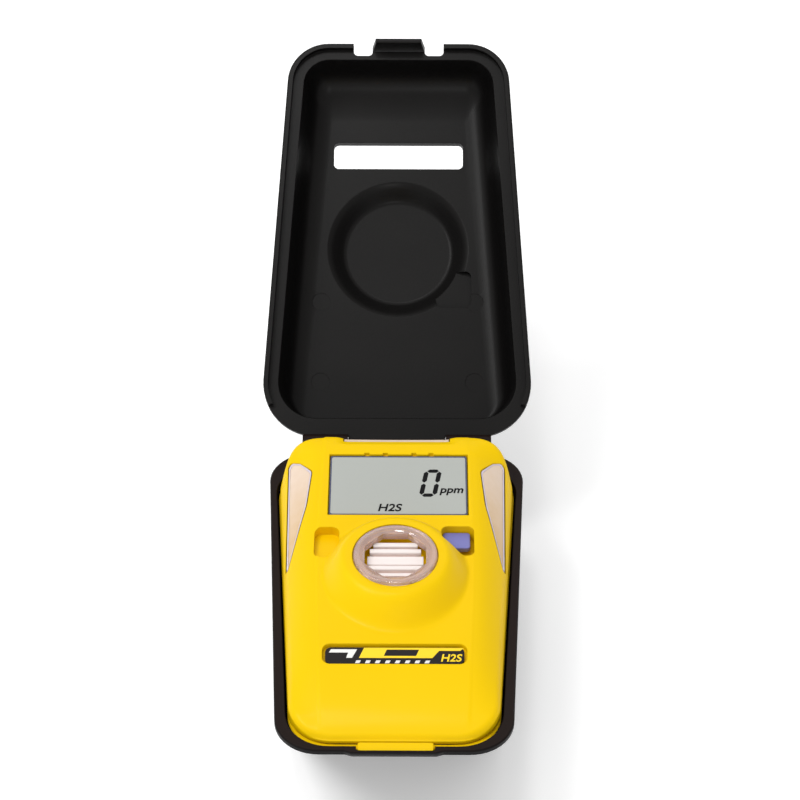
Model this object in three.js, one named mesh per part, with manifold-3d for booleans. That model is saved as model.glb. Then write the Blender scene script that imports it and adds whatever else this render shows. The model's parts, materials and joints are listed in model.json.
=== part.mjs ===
// Clip-on single-gas detector lying in its hinged storage case, lid open against its stop.
// Millimetres, +Z up, +Y towards the hinge. The case stands on its flat underside at z = 0, and the origin is
// the middle of that face. Most pieces are drawn in the hinge frame: x across, y = -(distance from the hinge
// pin), z = height above the tray's rim. The lid is drawn closed in that frame and turned open as a group.
import * as THREE from "three";
import { ConvexGeometry } from "three/addons/geometries/ConvexGeometry.js";
import { mergeVertices } from "three/addons/utils/BufferGeometryUtils.js";
import Module from "manifold-3d";

const wasm = await Module();
wasm.setup();

// ---- driving dimensions -------------------------------------------------------------------------------------
const GAP = 0.3; // air between pieces that meet
const LID_OPEN_DEG = 144; // lid's turn from closed to its stop

const RIM_HEIGHT = 31; // tray rim above the underside
const HINGE_Y = 34; // hinge pin from the middle of the underside
const CATCH_END = 93.5; // hinge pin to the latch catch's outer face
const RIM_THICK = 1.4;
const TRAY_FLOOR = -29; // inside of the tray's floor, below the rim
const KNUCKLE_R = 2.3;
const PIN_R = 0.9;
const BORE_R = 1.2;
const LID_KNUCKLE_HALF = 10.7;
const HINGE_HALF = 21;

const LID_END = 95; // hinge pin to the lid's free end
const LIP_DROP = 1.5; // lip's reach past the rim plane
const LIP_WALL = 1.15;
const LID_FLANGE = 1.6;
const LID_ROOF = 12; // outside of the lid's roof
const LID_CEILING = 10; // inside of the lid's roof
const DISH = { d: 48.8, floorR: 11.75, mouthR: 15.7, ceiling: 13.5, roof: 15.3 };
// Recess in the lid over the push button
const RECESS = { x: 12.8, half: 4.1, from: 34.8, to: 43.3, wall: 1.1, cornerR: 1.3, ceiling: 11.4, roof: 13.2 };
// U-shaped notches in the lid's free edge, one each side of the latch tongue
const NOTCH = { x: 8.2, half: 2.2, from: 92.5, cornerR: 0.8, deep: 5 };
const SLOT = { d: 71.5, half: 15.05, tall: 6.4, cornerR: 1.2 };
const TONGUE = { half: 5.9, inner: 93.85, outer: 95.1, tip: -5.5, root: 1.4 };

const SEAM = -1; // bottom edge of the detector's front shell
const TAB = { half: 7.5, end: 91.6 }; // tab on the back shell's lower end
const BACK = -13.5; // detector's back face
const SHELL = 1.8; // detector shell wall
const DOME = { d: 48.7, topR: 11.6, shoulderR: 13.8, footR: 15.6, top: 12.3 };
const LENS = { r: 8.75, thick: 1.6, flats: 6.5 };
const PORT_R = 6.9;
const DISPLAY = { half: 15.2, from: 14.1, to: 33 };
const PLATE = { half: 14.7, d: 71.5, tall: 6.2, cornerR: 1.6 };
const BUTTON = { x: 13.1, half: 2.5, from: 35.8, to: 39.6, top: 7.2, travel: 0.8 };
const SCREW_PLACES = [[-15.8, 12.3], [15.8, 12.3], [-17.6, 70], [17.6, 70]];
const SCREW = { headR: 1.8, headTall: 1.4, shankR: 0.9, boreR: 1.2 };
const BOARD = { low: -0.9, high: 0.3, from: 9.8, to: 57.4, hingeHalf: 22.6, latchHalf: 19.4 };
const CELL = { r: 7.25, half: 12.6, d: 65.2 };
const CLIP = { d: 28, z: -19.5, earHalf: 9.5, jawHalf: 7.8, pinR: 0.9, barrelR: 2.3 };

// ---- finishes -----------------------------------------------------------------------------------------------
const FINISHES = {
  caseBlack: { color: 0x141414, roughness: 0.7, metalness: 0 },
  shellYellow: { color: 0xf0b813, roughness: 0.4, metalness: 0 },
  clear: { color: 0xe9e4dc, roughness: 0.15, metalness: 0, transparent: true, opacity: 0.5 },
  display: { color: 0xb9bbb7, roughness: 0.3, metalness: 0 },
  white: { color: 0xf0ece6, roughness: 0.5, metalness: 0 },
  membrane: { color: 0xf4f2ee, roughness: 0.9, metalness: 0 },
  buttonGrey: { color: 0x8a8ca8, roughness: 0.5, metalness: 0 },
  seal: { color: 0x222222, roughness: 0.9, metalness: 0 },
  board: { color: 0x1d5c34, roughness: 0.6, metalness: 0 },
  darkPart: { color: 0x26272a, roughness: 0.5, metalness: 0 },
  led: { color: 0xf6e9e6, roughness: 0.2, metalness: 0 },
  steel: { color: 0xb8babd, roughness: 0.35, metalness: 1 },
  plate: { color: 0x1b1b1d, roughness: 0.4, metalness: 0 },
};

// ---- solids -------------------------------------------------------------------------------------------------
// three.js geometry to a solid that can be joined and cut
function solid(geometry) {
  const bare = geometry.clone();
  bare.deleteAttribute("normal");
  bare.deleteAttribute("uv");
  const merged = mergeVertices(bare, 1e-4);
  return new wasm.Manifold(
    new wasm.Mesh({
      numProp: 3,
      vertProperties: Float32Array.from(merged.attributes.position.array),
      triVerts: Uint32Array.from(merged.index.array),
    }),
  );
}

function geometryOf(body) {
  const { vertProperties, triVerts } = body.getMesh();
  const geometry = new THREE.BufferGeometry();
  geometry.setAttribute("position", new THREE.BufferAttribute(vertProperties, 3));
  geometry.setIndex(new THREE.BufferAttribute(triVerts, 1));
  geometry.computeVertexNormals();
  return geometry;
}

function join(...bodies) {
  return bodies.reduce((whole, body) => whole.add(body));
}

function cut(body, ...tools) {
  return tools.reduce((left, tool) => left.subtract(tool), body);
}

// Outline through corners, each rounded by the length given with it
function rounded(corners) {
  const shape = new THREE.Shape();
  corners.forEach(([x, y, r], i) => {
    const here = new THREE.Vector2(x, y);
    const [before, after] = [corners.at(i - 1), corners[(i + 1) % corners.length]].map(
      ([px, py]) => new THREE.Vector2(px, py).sub(here).normalize().multiplyScalar(r).add(here),
    );
    if (i === 0) shape.moveTo(before.x, before.y);
    else shape.lineTo(before.x, before.y);
    if (r > 0) shape.quadraticCurveTo(x, y, after.x, after.y);
  });
  shape.closePath();
  return shape;
}

// Tapering outline seen from above, between two distances from the hinge pin
function plan({ from, to, hingeHalf, latchHalf, hingeR = 9, latchR = 9 }) {
  return rounded([
    [-hingeHalf, -from, hingeR],
    [-latchHalf, -to, latchR],
    [latchHalf, -to, latchR],
    [hingeHalf, -from, hingeR],
  ]);
}

// The same outline drawn in by `by` on every side
function inset(outline, by) {
  return {
    ...outline,
    from: outline.from + by,
    to: outline.to - by,
    hingeHalf: outline.hingeHalf - by,
    latchHalf: outline.latchHalf - by,
  };
}

function prism(shape, low, high, curveSegments = 6) {
  const depth = high - low;
  const geometry = new THREE.ExtrudeGeometry(shape, { depth, bevelEnabled: false, curveSegments });
  return solid(geometry.translate(0, 0, low));
}

// Convex body through outlines at their heights
function skin(rings, segments = 6) {
  const points = rings.flatMap(([outline, z]) =>
    plan(outline).getPoints(segments).map((p) => new THREE.Vector3(p.x, p.y, z)),
  );
  return solid(new ConvexGeometry(points));
}

// Box by its middle x, half width, distances from the hinge and heights
function block(x, half, from, to, low, high) {
  const geometry = new THREE.BoxGeometry(2 * half, to - from, high - low);
  return solid(geometry.translate(x, -(from + to) / 2, (low + high) / 2));
}

function slab(half, from, to, r, low, high, x = 0) {
  const corners = [[x - half, -from, r], [x - half, -to, r], [x + half, -to, r], [x + half, -from, r]];
  return prism(rounded(corners), low, high, 4);
}

// Upright cylinder at x, distance d
function post(x, d, r, low, high, sides = 20) {
  const geometry = new THREE.CylinderGeometry(r, r, high - low, sides);
  return solid(geometry.rotateX(Math.PI / 2).translate(x, -d, (low + high) / 2));
}

// Cylinder along X, between two x values, at distance d and height z
function rod(d, z, r, left, right, sides = 20) {
  const geometry = new THREE.CylinderGeometry(r, r, right - left, sides);
  return solid(geometry.rotateZ(Math.PI / 2).translate((left + right) / 2, -d, z));
}

// Turned body about an upright axis at distance d; the profile is [radius, height] and starts and ends on the axis
function turned(d, profile, sides = 32) {
  const geometry = new THREE.LatheGeometry(profile.map(([r, z]) => new THREE.Vector2(r, z)), sides);
  return solid(geometry.rotateX(Math.PI / 2).translate(0, -d, 0));
}

// Side profile, [distance, height, rounding], drawn across the case between two x values
function profileBar(profile, left, right) {
  const shape = rounded(profile.map(([d, z, r = 0]) => [-d, z, r]));
  const geometry = new THREE.ExtrudeGeometry(shape, {
    depth: right - left,
    bevelEnabled: false,
    curveSegments: 5,
  });
  const turn = new THREE.Matrix4().set(0, 0, 1, left, 1, 0, 0, 0, 0, 1, 0, 0, 0, 0, 0, 1);
  return solid(geometry.applyMatrix4(turn));
}

function piece(name, body, finish) {
  const mesh = new THREE.Mesh(geometryOf(body), new THREE.MeshStandardMaterial(FINISHES[finish]));
  mesh.name = name;
  return mesh;
}

// ---- outlines -----------------------------------------------------------------------------------------------
const rimOutline = { from: 2.7, to: 91.8, hingeHalf: 28.3, latchHalf: 23.5 };
const trayMouth = { from: 6.8, to: 90.6, hingeHalf: 26.8, latchHalf: 21.3 };
const trayFloor = { from: 10, to: 60, hingeHalf: 23, latchHalf: 21.4, hingeR: 6, latchR: 6 };
const lidOutline = { from: 2.7, to: LID_END, hingeHalf: 30.8, latchHalf: 25, hingeR: 12, latchR: 9.5 };
const frontSeam = { from: 7.3, to: 89.4, hingeHalf: 26.3, latchHalf: 20.7 };
const rearSeam = { from: 7.3, to: 90.1, hingeHalf: 26.3, latchHalf: 20.8 };

// ---- case ---------------------------------------------------------------------------------------------------
// Latch catch: a bulge in the middle of the tray's free end that the lid's tongue closes over
function catchBulge() {
  const wide = { from: 84, to: CATCH_END, hingeHalf: 13, latchHalf: 8.2, hingeR: 0, latchR: 0.8 };
  return skin([[wide, 0], [wide, -1.6], [{ ...wide, to: CATCH_END - 3 }, -5]], 2);
}

function caseBase() {
  const outside = skin([
    [{ ...inset(rimOutline, 0.9), from: 4.8, to: 91.7 }, -RIM_THICK + 0.2],
    [{ from: 6.6, to: 77.5, hingeHalf: 26.5, latchHalf: 23.1 }, -16],
    [{ from: 8.8, to: 62.2, hingeHalf: 25.2, latchHalf: 23, hingeR: 7, latchR: 7 }, TRAY_FLOOR - 0.6],
    [{ from: 10.2, to: 60.6, hingeHalf: 23.8, latchHalf: 21.6, hingeR: 7, latchR: 7 }, -RIM_HEIGHT],
  ]);
  const hollow = skin([[trayMouth, 0.1], [trayMouth, -1.4], [trayFloor, TRAY_FLOOR]]);
  const rim = prism(plan(rimOutline), -RIM_THICK, 0);
  const tabPocket = block(0, TAB.half + GAP, 84, TAB.end + GAP, -2.6, 1);
  const ribs = [-1, 1].flatMap((side) =>
    [[16, 26], [50, 58]].map(([from, to]) => block(side * 20.3, 0.8, from, to, TRAY_FLOOR - 0.5, BACK - GAP)),
  );
  const ribsAndShell = join(cut(join(outside, rim, catchBulge()), hollow, tabPocket), ...ribs);
  const knuckleHalf = (HINGE_HALF - LID_KNUCKLE_HALF - GAP) / 2;
  const knuckleX = (HINGE_HALF + LID_KNUCKLE_HALF + GAP) / 2;
  const knuckles = [-1, 1].flatMap((side) => [
    rod(0, 0, KNUCKLE_R, side * knuckleX - knuckleHalf, side * knuckleX + knuckleHalf),
    block(side * knuckleX, knuckleHalf, 0, 6, -KNUCKLE_R, -0.2),
  ]);
  const stopPad = block(0, 8.5, 2.7, 6, -7, -0.4);
  const bore = rod(0, 0, BORE_R, -HINGE_HALF - 1, HINGE_HALF + 1);
  return cut(join(ribsAndShell, ...knuckles, stopPad), bore);
}

function lidDishTool(extra, ceiling, from) {
  return turned(DISH.d, [
    [0, from],
    [DISH.mouthR + extra, from],
    [DISH.floorR + extra + 1.4, ceiling - 0.9],
    [DISH.floorR + extra, ceiling],
    [0, ceiling],
  ]);
}

function caseLid() {
  const flange = prism(plan(lidOutline), -LIP_DROP, LID_FLANGE);
  const shell = skin([
    [{ ...inset(lidOutline, 2.4), from: 4.6 }, 0.6],
    [{ ...inset(lidOutline, 3.4), from: 5 }, 8.6],
    [{ ...inset(lidOutline, 5.2), from: 6.6 }, 11.2],
    [{ ...inset(lidOutline, 7), from: 8.6 }, LID_ROOF],
  ]);
  const lipInside = prism(plan(inset(lidOutline, LIP_WALL)), -LIP_DROP - 1, 0, 6);
  const hollow = skin([
    [{ ...inset(lidOutline, 3.45), from: 6.2 }, -0.5],
    [{ ...inset(lidOutline, 5), from: 6.4 }, 7],
    [{ ...inset(lidOutline, 6.4), from: 7.1 }, 9.2],
    [{ ...inset(lidOutline, 8.2), from: 9.4, to: 85 }, LID_CEILING],
  ]);
  const hingeEndLip = block(0, 40, 0, 9, -LIP_DROP - 1, 0);
  const dishBump = lidDishTool(1.9, DISH.roof, LID_CEILING + 0.5);
  const buttonBump = slab(
    RECESS.half + RECESS.wall, RECESS.from - RECESS.wall, RECESS.to + RECESS.wall, RECESS.cornerR,
    LID_CEILING + 0.5, RECESS.roof, RECESS.x,
  );
  const dish = lidDishTool(0, DISH.ceiling, LID_CEILING - 0.5);
  const buttonRecess = slab(
    RECESS.half, RECESS.from, RECESS.to, RECESS.cornerR, LID_CEILING - 0.5, RECESS.ceiling, RECESS.x,
  );
  const slot = slab(SLOT.half, SLOT.d - SLOT.tall / 2, SLOT.d + SLOT.tall / 2, SLOT.cornerR, 5, 20);
  const notches = [-1, 1].map((side) => slab(
    NOTCH.half, NOTCH.from, LID_END + NOTCH.deep, NOTCH.cornerR, -NOTCH.deep, NOTCH.deep, side * NOTCH.x,
  ));
  const tongueSeat = block(
    0, TONGUE.half + GAP, TONGUE.inner - GAP, LID_END + NOTCH.deep, -NOTCH.deep, TONGUE.root + GAP,
  );
  const open = cut(
    join(flange, shell, dishBump, buttonBump),
    lipInside, hollow, hingeEndLip, dish, buttonRecess, slot, tongueSeat, ...notches,
  );
  const knuckle = rod(0, 0, KNUCKLE_R, -LID_KNUCKLE_HALF, LID_KNUCKLE_HALF);
  const web = block(0, LID_KNUCKLE_HALF, 0, 6, 0.2, KNUCKLE_R);
  const bore = rod(0, 0, BORE_R, -HINGE_HALF, HINGE_HALF);
  return cut(join(open, knuckle, web, stopHeel()), bore);
}

// Heel on the lid's knuckle that bears on the tray's stop pad when the lid is fully open
function stopHeel() {
  const upright = [[-0.6, -0.8], [-0.6, -5.6], [2.3, -5.6], [2.3, -0.8]];
  const turn = THREE.MathUtils.degToRad(LID_OPEN_DEG);
  const profile = upright.map(([d, z]) => [
    d * Math.cos(turn) + z * Math.sin(turn),
    z * Math.cos(turn) - d * Math.sin(turn),
  ]);
  return profileBar(profile, -8, 8);
}

function latchTongue() {
  return profileBar(
    [
      [TONGUE.inner, TONGUE.tip, 0.3],
      [TONGUE.outer, TONGUE.tip, 0.3],
      [TONGUE.outer, TONGUE.root],
      [TONGUE.inner, TONGUE.root],
    ],
    -TONGUE.half,
    TONGUE.half,
  );
}

// ---- detector shells ----------------------------------------------------------------------------------------
// Front face: a raised middle band that falls from the display to the bottom edge, with sloping shoulders
const shoulder = { ...inset(frontSeam, 0.35), to: 88.6 };
function frontSkin(drop = 0, in_ = 0) {
  return skin([
    [inset(frontSeam, in_), SEAM - (in_ ? 2 : 0)],
    [inset(shoulder, in_), 1.6 - drop],
    [{ from: 7.9 + in_, to: 37, hingeHalf: 21.5 - in_, latchHalf: 20.6 - in_, hingeR: 2, latchR: 3 }, 6.4 - drop],
    [{ from: 8.3 + in_, to: 36, hingeHalf: 16.8 - in_ / 2, latchHalf: 17, hingeR: 1.5, latchR: 1.5 }, 8.7 - drop],
    [{ from: 37, to: 60, hingeHalf: 18.6 - in_ / 2, latchHalf: 18, hingeR: 2, latchR: 2 }, 6.9 - drop],
    [{ from: 60, to: 77, hingeHalf: 17.5 - in_ / 2, latchHalf: 16.8, hingeR: 2, latchR: 2 }, 4.9 - drop],
    [{ from: 70, to: 86 - in_, hingeHalf: 17, latchHalf: 15.6, hingeR: 2, latchR: 3 }, 2.6 - drop],
  ]);
}

function domeBody(wall) {
  return turned(DOME.d, [
    [0, -0.5],
    [DOME.footR - wall, -0.5],
    [DOME.footR - wall, 6.2 - wall / 2],
    [DOME.shoulderR - wall, 8.4 - wall / 2],
    [DOME.topR + 0.9 - wall, 11.4 - wall],
    [DOME.topR - wall, DOME.top - 2 * wall],
    [0, DOME.top - 2 * wall],
  ]);
}

// Teardrop outline of a shoulder light, on the side given by its sign
function shoulderLight(side, grow) {
  const corners = [
    [18.9 - grow, -12.6 + grow, 2],
    [26 + grow, -12.6 + grow, 0],
    [26 + grow, -48 - 4 * grow, 0],
    [24.2, -48 - 4 * grow, 0],
    [20.6 - grow, -26, 3],
  ].map(([x, y, r]) => [side * x, y, r]);
  return rounded(side > 0 ? corners.reverse() : corners);
}

function topLight(grow) {
  return block(0, 11.4 + grow, 5, 9.4 + grow, 5.2 - grow, 12);
}

function plateTool(grow) {
  const { half, d, tall, cornerR } = PLATE;
  return slab(half + grow, d - tall / 2 - grow, d + tall / 2 + grow, cornerR, -5, 12);
}

function displayTool(grow) {
  return slab(DISPLAY.half + grow, DISPLAY.from - grow, DISPLAY.to + grow, 0.5, -5, 12);
}

function frontHousing() {
  const outer = join(frontSkin(), domeBody(0));
  const inner = join(frontSkin(SHELL, SHELL), domeBody(SHELL));
  const shell = cut(outer, inner);
  const posts = SCREW_PLACES.map(([x, d]) => post(x, d, 2.1, SEAM, 7.4).intersect(frontSkin()));
  const pockets = [
    slab(3.5, 34.6, 41.4, 0.8, 6.2, 12, 12.9),
    slab(2.2, 34.6, 40.6, 0.8, 6.4, 12, -14.4),
  ];
  const openings = [
    displayTool(0.25).subtract(frontSkin(1.2)),
    block(0, DISPLAY.half - 1.2, DISPLAY.from + 1.2, DISPLAY.to - 1.2, 2, 12),
    plateTool(0.25).subtract(frontSkin(1)),
    topLight(0.25),
    ...[-1, 1].map((side) => prism(shoulderLight(side, 0.25), 1.2, 12)),
    post(0, DOME.d, LENS.r + 0.25, DOME.top - LENS.thick - GAP, 14, 32),
    post(0, DOME.d, PORT_R, 4, 14, 32),
    block(BUTTON.x, BUTTON.half + 0.25, BUTTON.from - 0.25, BUTTON.to + 0.25, 3, 12),
  ];
  const bores = SCREW_PLACES.map(([x, d]) => post(x, d, SCREW.boreR, SEAM - 1, 3.2, 12));
  return cut(join(cut(shell, ...pockets, ...openings), ...posts), ...bores);
}

function rearSkin(in_) {
  return skin([
    [inset(rearSeam, in_), in_ ? 0 : SEAM - GAP],
    [{ ...inset(rearSeam, 0.3 + in_), to: 86.3 - in_ }, -4.6],
    [{ from: 8.8 + in_, to: 78.2 - in_, hingeHalf: 24.9 - in_, latchHalf: 20.6 - in_ }, -11.8 + in_],
    [{ from: 10 + in_, to: 75.4 - in_, hingeHalf: 23.6 - in_, latchHalf: 19.4 - in_ }, BACK + in_],
  ]);
}

function rearHousing() {
  const tab = slab(TAB.half, 86, TAB.end, 0.9, SEAM - 1.3, SEAM - GAP);
  const posts = SCREW_PLACES.map(([x, d]) => post(x, d, 2.7, BACK + 0.4, SEAM - GAP).intersect(rearSkin(0)));
  const shell = join(cut(join(rearSkin(0), tab), rearSkin(SHELL)), ...posts);
  const sealSeat = prism(plan(inset(rearSeam, 0.9)), SEAM - 1.1, SEAM + 1)
    .subtract(prism(plan(inset(rearSeam, 2.2)), SEAM - 2, SEAM + 2));
  const bores = SCREW_PLACES.flatMap(([x, d]) => [
    post(x, d, SCREW.boreR, BACK - 1, 0, 12),
    post(x, d, SCREW.headR + GAP, BACK - 1, BACK + SCREW.headTall + 0.5, 16),
  ]);
  const clipBores = clipScrewPlaces().map(([x, d]) => post(x, d, SCREW.boreR, BACK - 1, BACK + 4, 12));
  return cut(shell, sealSeat, ...bores, ...clipBores);
}

function housingSeal() {
  return prism(plan(inset(rearSeam, 1.15)), SEAM - 0.85, SEAM - 0.3 + 0.05)
    .subtract(prism(plan(inset(rearSeam, 1.8)), SEAM - 2, SEAM + 1));
}

function housingScrew([x, d]) {
  const seat = BACK + SCREW.headTall + 0.2;
  return join(
    post(x, d, SCREW.headR, seat - SCREW.headTall, seat, 16),
    post(x, d, SCREW.shankR, seat - 0.2, 2.9, 12),
  );
}

// ---- windows, port and button -------------------------------------------------------------------------------
function lcdWindow() {
  return displayTool(0).intersect(frontSkin(0.15)).subtract(frontSkin(0.9));
}

function namePlate() {
  return plateTool(0).intersect(frontSkin(0.1)).subtract(frontSkin(0.7));
}

function topWindow() {
  return topLight(0).intersect(frontSkin(0.05)).subtract(frontSkin(SHELL, SHELL));
}

function sideWindow(side) {
  return prism(shoulderLight(side, 0), 1.5, 12).intersect(frontSkin(0.05)).subtract(frontSkin(SHELL, SHELL));
}

// Regular octagon with flats across, standing upright at the port
function octagon(flats, low, high) {
  const geometry = new THREE.CylinderGeometry(1, 1, high - low, 8).rotateY(Math.PI / 8);
  const r = flats / Math.cos(Math.PI / 8);
  return solid(geometry.rotateX(Math.PI / 2).scale(r, r, 1).translate(0, -DOME.d, (low + high) / 2));
}

function lensRing() {
  const seat = DOME.top - LENS.thick;
  return cut(post(0, DOME.d, LENS.r, seat, DOME.top, 32), octagon(LENS.flats, seat - 1, DOME.top + 1));
}

const GRILLE = { low: 8.7, high: 10.2, bars: 5, pitch: 2.2, barHalf: 0.5 };
function sensorGrille() {
  const ring = cut(octagon(6.25, GRILLE.low, GRILLE.high), octagon(5.5, GRILLE.low - 1, GRILLE.high + 1));
  const bars = Array.from({ length: GRILLE.bars }, (_, i) => {
    const d = DOME.d + (i - (GRILLE.bars - 1) / 2) * GRILLE.pitch;
    return block(0, 6, d - GRILLE.barHalf, d + GRILLE.barHalf, GRILLE.low + 0.2, GRILLE.high - 0.2);
  });
  return join(ring, ...bars).intersect(octagon(6.25, GRILLE.low, GRILLE.high));
}

function sensorSeal() {
  return cut(post(0, DOME.d, 8.2, 7.9, 8.3), post(0, DOME.d, 7, 7, 9));
}

function pushButton() {
  const { x, half, from, to, top } = BUTTON;
  return join(slab(half, from, to, 0.4, 4.9, top, x), post(x, (from + to) / 2, 0.9, 4.4, 5.2, 12));
}

// ---- inside the detector ------------------------------------------------------------------------------------
function circuitBoard() {
  const { low, high } = BOARD;
  const plate = prism(plan({ ...BOARD, hingeR: 7, latchR: 3 }), low, high);
  return cut(plate, ...SCREW_PLACES.slice(0, 2).map(([x, d]) => post(x, d, 3, -1, 3)));
}

function onBoard(height) {
  return [BOARD.high + 0.1, BOARD.high + 0.1 + height];
}

function led(x, d) {
  return block(x, 0.8, d - 0.8, d + 0.8, ...onBoard(1.1));
}

function batteryCell() {
  const z = BACK + SHELL + 0.4 + CELL.r;
  return join(
    rod(CELL.d, z, CELL.r, -CELL.half, CELL.half, 28),
    rod(CELL.d, z, 2.4, CELL.half - 0.2, CELL.half + 1.4, 16),
  );
}

// ---- belt clip ----------------------------------------------------------------------------------------------
function clipScrewPlaces() {
  return [[-5, 21.4], [5, 21.4]];
}

function clipBracket() {
  const ears = [-1, 1].map((side) =>
    profileBar(
      [[23.6, BACK - 1], [25.4, CLIP.z - 2.2, 1], [30.6, CLIP.z - 2.2, 1], [34, BACK - 1]],
      side > 0 ? CLIP.jawHalf + GAP : -CLIP.earHalf,
      side > 0 ? CLIP.earHalf : -CLIP.jawHalf - GAP,
    ),
  );
  const foot = slab(CLIP.earHalf, 17.6, 36, 1.5, BACK - GAP - 1.5, BACK - GAP);
  const bores = clipScrewPlaces().map(([x, d]) => post(x, d, SCREW.boreR, BACK - 3, BACK, 12));
  const pinBore = rod(CLIP.d, CLIP.z, BORE_R, -12, 12, 16);
  return cut(join(foot, ...ears.map((ear) => cut(ear, block(0, 20, 0, 60, BACK - GAP, 0)))), ...bores, pinBore);
}

function clipJaw() {
  const lever = profileBar(
    [
      [11, -26.4, 0.7],
      [24, -22.8, 4],
      [42, -22, 6],
      [60, -16.6, 2],
      [65.5, -17.8],
      [65.5, -16.2, 0.6],
      [60.5, BACK - GAP, 1.5],
      [42, -20.2, 6],
      [24, -20.8, 4],
      [11, -24.6, 0.7],
    ],
    -CLIP.jawHalf,
    CLIP.jawHalf,
  );
  const barrels = [-1, 1].map((side) => {
    const ends = [side * 3, side * CLIP.jawHalf].sort((a, b) => a - b);
    return rod(CLIP.d, CLIP.z, CLIP.barrelR, ...ends, 16);
  });
  return cut(join(lever, ...barrels), rod(CLIP.d, CLIP.z, BORE_R, -12, 12, 16), springRoom());
}

function springRoom() {
  return rod(CLIP.d, CLIP.z, 2.6, -3, 3, 20);
}

// Torsion spring: four turns round the pin with a leg against the bracket
function clipSpring() {
  const [turns, meanR, wireR, length] = [4, 1.75, 0.3, 4.4];
  class Coil extends THREE.Curve {
    getPoint(t, target = new THREE.Vector3()) {
      const leg = 0.12;
      const w = Math.max(t - leg, 0) / (1 - leg);
      const angle = Math.PI / 2 + w * turns * 2 * Math.PI;
      const out = t < leg ? (1 - t / leg) * 5 : 0;
      return target.set(
        (w - 0.5) * length,
        -CLIP.d + meanR * Math.cos(angle) + out,
        CLIP.z + meanR * Math.sin(angle),
      );
    }
  }
  const wire = new THREE.Shape().absarc(0, 0, wireR, 0, 2 * Math.PI);
  const geometry = new THREE.ExtrudeGeometry(wire, {
    steps: 90,
    curveSegments: 3,
    bevelEnabled: false,
    extrudePath: new Coil(),
  });
  return solid(geometry);
}

function clipScrew([x, d]) {
  return join(post(x, d, 1.8, BACK - 3.1, BACK - 2.1, 16), post(x, d, 0.9, BACK - 2.2, BACK + 1.5, 12));
}

// ---- assembly -----------------------------------------------------------------------------------------------
const DARK_PARTS = {
  button_switch: block(BUTTON.x, 2, 35.7, 39.7, ...onBoard(3)),
  buzzer: post(5.5, 80, 5, -3.2, -0.4, 24),
  vibration_motor: rod(79.4, -2, 1.9, -12, -3, 16),
};

function caseAndDetector() {
  const group = new THREE.Group();
  group.add(
    piece("case_base", caseBase(), "caseBlack"),
    piece("hinge_pin", rod(0, 0, PIN_R, -HINGE_HALF + 0.4, HINGE_HALF - 0.4, 16), "steel"),
    piece("front_housing", frontHousing(), "shellYellow"),
    piece("rear_housing", rearHousing(), "shellYellow"),
    piece("housing_seal", housingSeal(), "seal"),
    piece("lcd_window", lcdWindow(), "clear"),
    piece("lcd_module", block(0, 15.6, 15.2, 32.9, ...onBoard(4.6)), "display"),
    piece("top_light_window", topWindow(), "clear"),
    piece("left_light_window", sideWindow(-1), "clear"),
    piece("right_light_window", sideWindow(1), "clear"),
    piece("led_top", led(0, 11.6), "led"),
    piece("led_left", led(-19.2, 26), "led"),
    piece("led_right", led(19.2, 26), "led"),
    piece("sensor_lens_ring", lensRing(), "clear"),
    piece("sensor_grille", sensorGrille(), "white"),
    piece("sensor_filter", post(0, DOME.d, 6.6, 7.9, 8.3, 28), "membrane"),
    piece("sensor_seal", sensorSeal(), "seal"),
    piece("gas_sensor", post(0, DOME.d, 8.2, BOARD.high + 0.1, 7.6, 28), "darkPart"),
    piece("push_button", pushButton(), "buttonGrey"),
    piece("name_plate", namePlate(), "plate"),
    piece("circuit_board", circuitBoard(), "board"),
    piece("battery", batteryCell(), "steel"),
    piece("clip_bracket", clipBracket(), "steel"),
    piece("clip_jaw", clipJaw(), "steel"),
    piece("clip_pin", rod(CLIP.d, CLIP.z, CLIP.pinR, -CLIP.earHalf, CLIP.earHalf, 16), "steel"),
    piece("clip_spring", clipSpring(), "steel"),
  );
  for (const [name, body] of Object.entries(DARK_PARTS)) group.add(piece(name, body, "darkPart"));
  SCREW_PLACES.forEach((place, i) => group.add(piece(`housing_screw_${i + 1}`, housingScrew(place), "steel")));
  clipScrewPlaces().forEach((place, i) => group.add(piece(`clip_screw_${i + 1}`, clipScrew(place), "steel")));
  group.add(openLid());
  group.position.set(0, HINGE_Y, RIM_HEIGHT);
  return group;
}

function openLid() {
  const lid = new THREE.Group();
  lid.add(piece("case_lid", caseLid(), "caseBlack"), piece("latch_tongue", latchTongue(), "caseBlack"));
  lid.rotation.x = -THREE.MathUtils.degToRad(LID_OPEN_DEG);
  return lid;
}

const detector = new THREE.Group();
detector.add(caseAndDetector());
export default detector;
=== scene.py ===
"""A clip-on gas detector lying in its hinged storage case, with the lid open against its stop.

Shapes are drawn in millimetres in the hinge frame: x across the case, y = -d, where d is the distance from
the hinge pin, and z = height above the tray's rim. The lid's pieces are drawn closed and then turned open.
"""
import json
import math

import bmesh
import bpy
from mathutils import Matrix, Vector


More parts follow.
